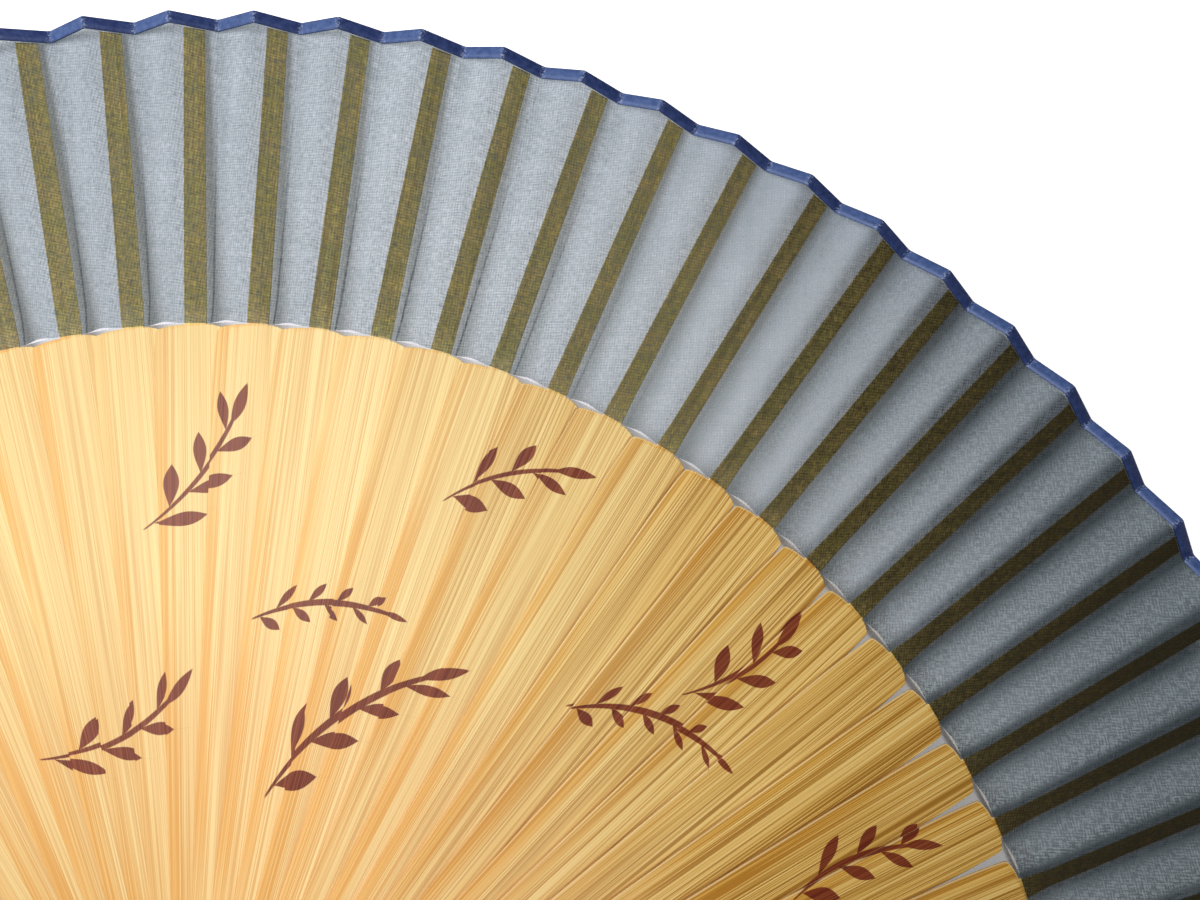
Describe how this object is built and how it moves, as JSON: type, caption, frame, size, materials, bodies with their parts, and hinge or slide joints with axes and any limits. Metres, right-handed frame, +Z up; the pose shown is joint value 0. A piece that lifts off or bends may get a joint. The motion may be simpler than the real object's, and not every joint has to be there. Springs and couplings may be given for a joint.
{
  "type": "folding fan",
  "caption": "Folding hand fan with bamboo sticks on one rivet and a pleated gauze leaf with a bound edge, stored open; it shuts to a slim bundle.",
  "frame": {"origin": "centre of the flat end of the rivet's rear head, which stands on the table", "axes": "+Z up from the table, +Y from the rivet along the middle stick, +X towards the front guard; the rivet's axis leans 3.3 degrees from +Z, as the open fan lies"},
  "size_m": [0.3821, 0.2038, 0.023],
  "materials": {
    "bamboo": "sanded bamboo with fine fibres, painted brown brush marks",
    "guard_bamboo": "polished bamboo",
    "gauze": "thin plain-weave gauze, see-through",
    "edge_paper": "satin paper tape",
    "rivet_resin": "polished resin"
  },
  "bodies": {
    "rear_guard": {"guard_rear": "guard_bamboo", "rivet": "rivet_resin", "leaf": "gauze", "edge_binding": "edge_paper"},
    "blade_01": {"stick_01": "bamboo"},
    "blade_02": {"stick_02": "bamboo"},
    "blade_03": {"stick_03": "bamboo"},
    "blade_04": {"stick_04": "bamboo"},
    "blade_05": {"stick_05": "bamboo"},
    "blade_06": {"stick_06": "bamboo"},
    "blade_07": {"stick_07": "bamboo"},
    "blade_08": {"stick_08": "bamboo"},
    "blade_09": {"stick_09": "bamboo"},
    "blade_10": {"stick_10": "bamboo"},
    "blade_11": {"stick_11": "bamboo"},
    "blade_12": {"stick_12": "bamboo"},
    "blade_13": {"stick_13": "bamboo"},
    "blade_14": {"stick_14": "bamboo"},
    "blade_15": {"stick_15": "bamboo"},
    "blade_16": {"stick_16": "bamboo"},
    "blade_17": {"stick_17": "bamboo"},
    "blade_18": {"stick_18": "bamboo"},
    "blade_19": {"stick_19": "bamboo"},
    "blade_20": {"stick_20": "bamboo"},
    "blade_21": {"stick_21": "bamboo"},
    "blade_22": {"stick_22": "bamboo"},
    "blade_23": {"stick_23": "bamboo"},
    "blade_24": {"stick_24": "bamboo"},
    "blade_25": {"stick_25": "bamboo"},
    "blade_26": {"stick_26": "bamboo"},
    "blade_27": {"stick_27": "bamboo"},
    "blade_28": {"stick_28": "bamboo"},
    "blade_29": {"stick_29": "bamboo"},
    "blade_30": {"stick_30": "bamboo"},
    "blade_31": {"stick_31": "bamboo"},
    "blade_32": {"stick_32": "bamboo"},
    "blade_33": {"stick_33": "bamboo"},
    "front_guard": {"guard_front": "guard_bamboo"}
  },
  "joints": [
    {"name": "pivot_01", "type": "hinge", "parent": "rear_guard", "child": "blade_01", "pos_m": [0.00004, 0.00007, 0.00134], "axis": [0.0296, 0.0487, 0.9984], "range_deg": [0, 4.25], "deforming": ["leaf", "edge_binding"]},
    {"name": "pivot_02", "type": "hinge", "parent": "blade_01", "child": "blade_02", "pos_m": [0.00004, 0.00007, 0.00134], "axis": [0.0296, 0.0487, 0.9984], "range_deg": [0, 4.25]},
    {"name": "pivot_03", "type": "hinge", "parent": "blade_02", "child": "blade_03", "pos_m": [0.00004, 0.00007, 0.00134], "axis": [0.0296, 0.0487, 0.9984], "range_deg": [0, 4.25]},
    {"name": "pivot_04", "type": "hinge", "parent": "blade_03", "child": "blade_04", "pos_m": [0.00004, 0.00007, 0.00134], "axis": [0.0296, 0.0487, 0.9984], "range_deg": [0, 4.25]},
    {"name": "pivot_05", "type": "hinge", "parent": "blade_04", "child": "blade_05", "pos_m": [0.00004, 0.00007, 0.00134], "axis": [0.0296, 0.0487, 0.9984], "range_deg": [0, 4.25]},
    {"name": "pivot_06", "type": "hinge", "parent": "blade_05", "child": "blade_06", "pos_m": [0.00004, 0.00007, 0.00134], "axis": [0.0296, 0.0487, 0.9984], "range_deg": [0, 4.25]},
    {"name": "pivot_07", "type": "hinge", "parent": "blade_06", "child": "blade_07", "pos_m": [0.00004, 0.00007, 0.00134], "axis": [0.0296, 0.0487, 0.9984], "range_deg": [0, 4.25]},
    {"name": "pivot_08", "type": "hinge", "parent": "blade_07", "child": "blade_08", "pos_m": [0.00004, 0.00007, 0.00134], "axis": [0.0296, 0.0487, 0.9984], "range_deg": [0, 4.25]},
    {"name": "pivot_09", "type": "hinge", "parent": "blade_08", "child": "blade_09", "pos_m": [0.00004, 0.00007, 0.00134], "axis": [0.0296, 0.0487, 0.9984], "range_deg": [0, 4.25]},
    {"name": "pivot_10", "type": "hinge", "parent": "blade_09", "child": "blade_10", "pos_m": [0.00004, 0.00007, 0.00134], "axis": [0.0296, 0.0487, 0.9984], "range_deg": [0, 4.25]},
    {"name": "pivot_11", "type": "hinge", "parent": "blade_10", "child": "blade_11", "pos_m": [0.00004, 0.00007, 0.00134], "axis": [0.0296, 0.0487, 0.9984], "range_deg": [0, 4.25]},
    {"name": "pivot_12", "type": "hinge", "parent": "blade_11", "child": "blade_12", "pos_m": [0.00004, 0.00007, 0.00134], "axis": [0.0296, 0.0487, 0.9984], "range_deg": [0, 4.25]},
    {"name": "pivot_13", "type": "hinge", "parent": "blade_12", "child": "blade_13", "pos_m": [0.00004, 0.00007, 0.00134], "axis": [0.0296, 0.0487, 0.9984], "range_deg": [0, 4.25]},
    {"name": "pivot_14", "type": "hinge", "parent": "blade_13", "child": "blade_14", "pos_m": [0.00004, 0.00007, 0.00134], "axis": [0.0296, 0.0487, 0.9984], "range_deg": [0, 4.25]},
    {"name": "pivot_15", "type": "hinge", "parent": "blade_14", "child": "blade_15", "pos_m": [0.00004, 0.00007, 0.00134], "axis": [0.0296, 0.0487, 0.9984], "range_deg": [0, 4.25]},
    {"name": "pivot_16", "type": "hinge", "parent": "blade_15", "child": "blade_16", "pos_m": [0.00004, 0.00007, 0.00134], "axis": [0.0296, 0.0487, 0.9984], "range_deg": [0, 4.25]},
    {"name": "pivot_17", "type": "hinge", "parent": "blade_16", "child": "blade_17", "pos_m": [0.00004, 0.00007, 0.00134], "axis": [0.0296, 0.0487, 0.9984], "range_deg": [0, 4.25]},
    {"name": "pivot_18", "type": "hinge", "parent": "blade_17", "child": "blade_18", "pos_m": [0.00004, 0.00007, 0.00134], "axis": [0.0296, 0.0487, 0.9984], "range_deg": [0, 4.25]},
    {"name": "pivot_19", "type": "hinge", "parent": "blade_18", "child": "blade_19", "pos_m": [0.00004, 0.00007, 0.00134], "axis": [0.0296, 0.0487, 0.9984], "range_deg": [0, 4.25]},
    {"name": "pivot_20", "type": "hinge", "parent": "blade_19", "child": "blade_20", "pos_m": [0.00004, 0.00007, 0.00134], "axis": [0.0296, 0.0487, 0.9984], "range_deg": [0, 4.25]},
    {"name": "pivot_21", "type": "hinge", "parent": "blade_20", "child": "blade_21", "pos_m": [0.00004, 0.00007, 0.00134], "axis": [0.0296, 0.0487, 0.9984], "range_deg": [0, 4.25]},
    {"name": "pivot_22", "type": "hinge", "parent": "blade_21", "child": "blade_22", "pos_m": [0.00004, 0.00007, 0.00134], "axis": [0.0296, 0.0487, 0.9984], "range_deg": [0, 4.25]},
    {"name": "pivot_23", "type": "hinge", "parent": "blade_22", "child": "blade_23", "pos_m": [0.00004, 0.00007, 0.00134], "axis": [0.0296, 0.0487, 0.9984], "range_deg": [0, 4.25]},
    {"name": "pivot_24", "type": "hinge", "parent": "blade_23", "child": "blade_24", "pos_m": [0.00004, 0.00007, 0.00134], "axis": [0.0296, 0.0487, 0.9984], "range_deg": [0, 4.25]},
    {"name": "pivot_25", "type": "hinge", "parent": "blade_24", "child": "blade_25", "pos_m": [0.00004, 0.00007, 0.00134], "axis": [0.0296, 0.0487, 0.9984], "range_deg": [0, 4.25]},
    {"name": "pivot_26", "type": "hinge", "parent": "blade_25", "child": "blade_26", "pos_m": [0.00004, 0.00007, 0.00134], "axis": [0.0296, 0.0487, 0.9984], "range_deg": [0, 4.25]},
    {"name": "pivot_27", "type": "hinge", "parent": "blade_26", "child": "blade_27", "pos_m": [0.00004, 0.00007, 0.00134], "axis": [0.0296, 0.0487, 0.9984], "range_deg": [0, 4.25]},
    {"name": "pivot_28", "type": "hinge", "parent": "blade_27", "child": "blade_28", "pos_m": [0.00004, 0.00007, 0.00134], "axis": [0.0296, 0.0487, 0.9984], "range_deg": [0, 4.25]},
    {"name": "pivot_29", "type": "hinge", "parent": "blade_28", "child": "blade_29", "pos_m": [0.00004, 0.00007, 0.00134], "axis": [0.0296, 0.0487, 0.9984], "range_deg": [0, 4.25]},
    {"name": "pivot_30", "type": "hinge", "parent": "blade_29", "child": "blade_30", "pos_m": [0.00004, 0.00007, 0.00134], "axis": [0.0296, 0.0487, 0.9984], "range_deg": [0, 4.25]},
    {"name": "pivot_31", "type": "hinge", "parent": "blade_30", "child": "blade_31", "pos_m": [0.00004, 0.00007, 0.00134], "axis": [0.0296, 0.0487, 0.9984], "range_deg": [0, 4.25]},
    {"name": "pivot_32", "type": "hinge", "parent": "blade_31", "child": "blade_32", "pos_m": [0.00004, 0.00007, 0.00134], "axis": [0.0296, 0.0487, 0.9984], "range_deg": [0, 4.25]},
    {"name": "pivot_33", "type": "hinge", "parent": "blade_32", "child": "blade_33", "pos_m": [0.00004, 0.00007, 0.00134], "axis": [0.0296, 0.0487, 0.9984], "range_deg": [0, 4.25]},
    {"name": "pivot_34", "type": "hinge", "parent": "blade_33", "child": "front_guard", "pos_m": [0.00004, 0.00007, 0.00134], "axis": [0.0296, 0.0487, 0.9984], "range_deg": [0, 4.25]}
  ],
  "couplings": [
    {"joint": "pivot_02", "follows": "pivot_01", "ratio": 1},
    {"joint": "pivot_03", "follows": "pivot_01", "ratio": 1},
    {"joint": "pivot_04", "follows": "pivot_01", "ratio": 1},
    {"joint": "pivot_05", "follows": "pivot_01", "ratio": 1},
    {"joint": "pivot_06", "follows": "pivot_01", "ratio": 1},
    {"joint": "pivot_07", "follows": "pivot_01", "ratio": 1},
    {"joint": "pivot_08", "follows": "pivot_01", "ratio": 1},
    {"joint": "pivot_09", "follows": "pivot_01", "ratio": 1},
    {"joint": "pivot_10", "follows": "pivot_01", "ratio": 1},
    {"joint": "pivot_11", "follows": "pivot_01", "ratio": 1},
    {"joint": "pivot_12", "follows": "pivot_01", "ratio": 1},
    {"joint": "pivot_13", "follows": "pivot_01", "ratio": 1},
    {"joint": "pivot_14", "follows": "pivot_01", "ratio": 1},
    {"joint": "pivot_15", "follows": "pivot_01", "ratio": 1},
    {"joint": "pivot_16", "follows": "pivot_01", "ratio": 1},
    {"joint": "pivot_17", "follows": "pivot_01", "ratio": 1},
    {"joint": "pivot_18", "follows": "pivot_01", "ratio": 1},
    {"joint": "pivot_19", "follows": "pivot_01", "ratio": 1},
    {"joint": "pivot_20", "follows": "pivot_01", "ratio": 1},
    {"joint": "pivot_21", "follows": "pivot_01", "ratio": 1},
    {"joint": "pivot_22", "follows": "pivot_01", "ratio": 1},
    {"joint": "pivot_23", "follows": "pivot_01", "ratio": 1},
    {"joint": "pivot_24", "follows": "pivot_01", "ratio": 1},
    {"joint": "pivot_25", "follows": "pivot_01", "ratio": 1},
    {"joint": "pivot_26", "follows": "pivot_01", "ratio": 1},
    {"joint": "pivot_27", "follows": "pivot_01", "ratio": 1},
    {"joint": "pivot_28", "follows": "pivot_01", "ratio": 1},
    {"joint": "pivot_29", "follows": "pivot_01", "ratio": 1},
    {"joint": "pivot_30", "follows": "pivot_01", "ratio": 1},
    {"joint": "pivot_31", "follows": "pivot_01", "ratio": 1},
    {"joint": "pivot_32", "follows": "pivot_01", "ratio": 1},
    {"joint": "pivot_33", "follows": "pivot_01", "ratio": 1},
    {"joint": "pivot_34", "follows": "pivot_01", "ratio": 1}
  ]
}
